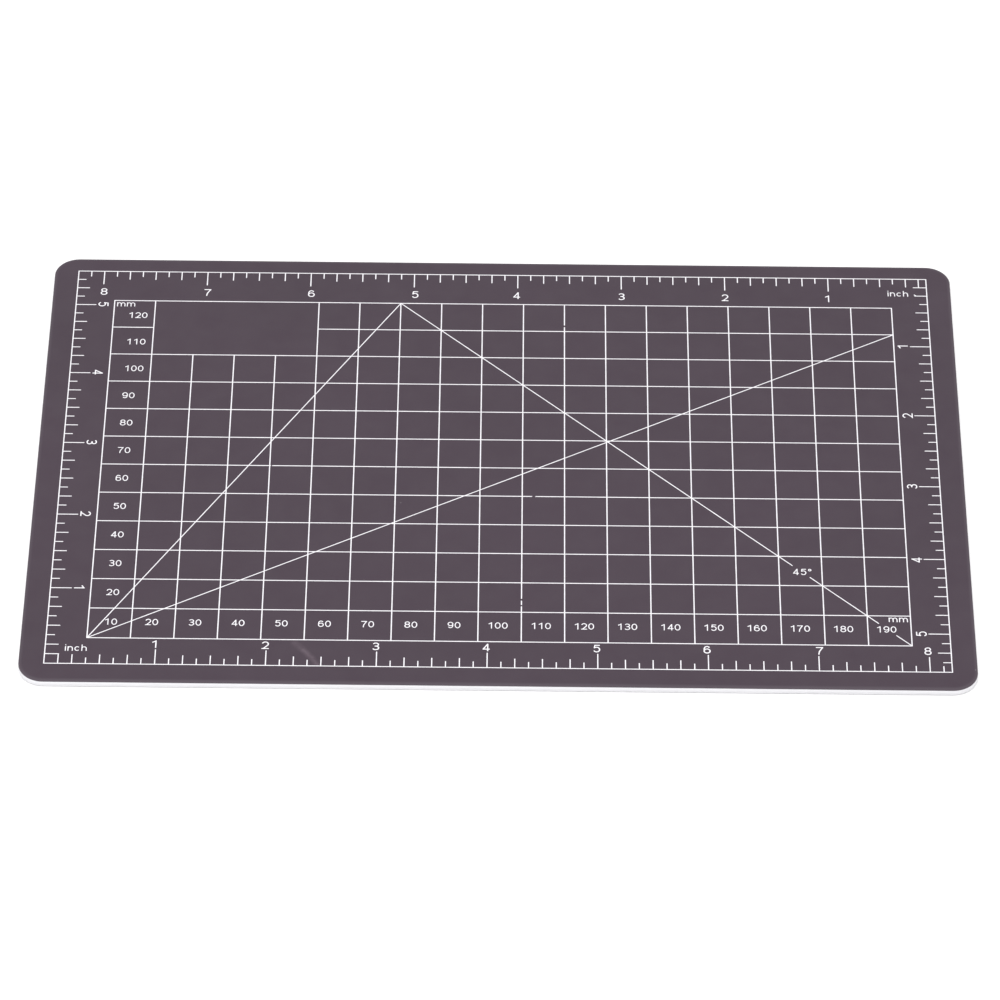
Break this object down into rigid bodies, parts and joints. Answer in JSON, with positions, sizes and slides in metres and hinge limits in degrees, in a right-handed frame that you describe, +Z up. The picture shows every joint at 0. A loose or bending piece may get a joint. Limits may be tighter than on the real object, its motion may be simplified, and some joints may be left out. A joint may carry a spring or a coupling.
{
  "type": "self healing cutting mat",
  "caption": "Thin laminated cutting mat with round corners, a dark self healing skin on a white core, and a printed millimetre grid, inch scales and angle lines.",
  "frame": {"origin": "centre of the underside, on the surface that the mat lies on", "axes": "+X along the long side, to the right when the numerals read upright; +Y from the front edge to the back edge; +Z up out of the cutting skin"},
  "size_m": [0.22, 0.15, 0.002],
  "materials": {
    "cutting_skin": "matte self healing PVC, dark grey with a purple cast, fine embossed grain",
    "core_ply": "stiff white plastic, die-cut edge",
    "base_ply": "soft white PVC, fine matte grain underneath",
    "ink": "white screen printing ink, satin"
  },
  "bodies": {
    "root": {"base_ply": "base_ply", "core_ply": "core_ply", "cutting_skin": "cutting_skin", "inch_scale_print": "ink", "mm_grid_print": "ink", "front_inch_numerals_print": "ink", "back_inch_numerals_print": "ink", "left_inch_numerals_print": "ink", "right_inch_numerals_print": "ink", "mm_row_numerals_print": "ink", "mm_column_numerals_print": "ink", "inch_unit_marks_print": "ink", "mm_unit_marks_print": "ink", "angle_mark_print": "ink"}
  },
  "joints": []
}
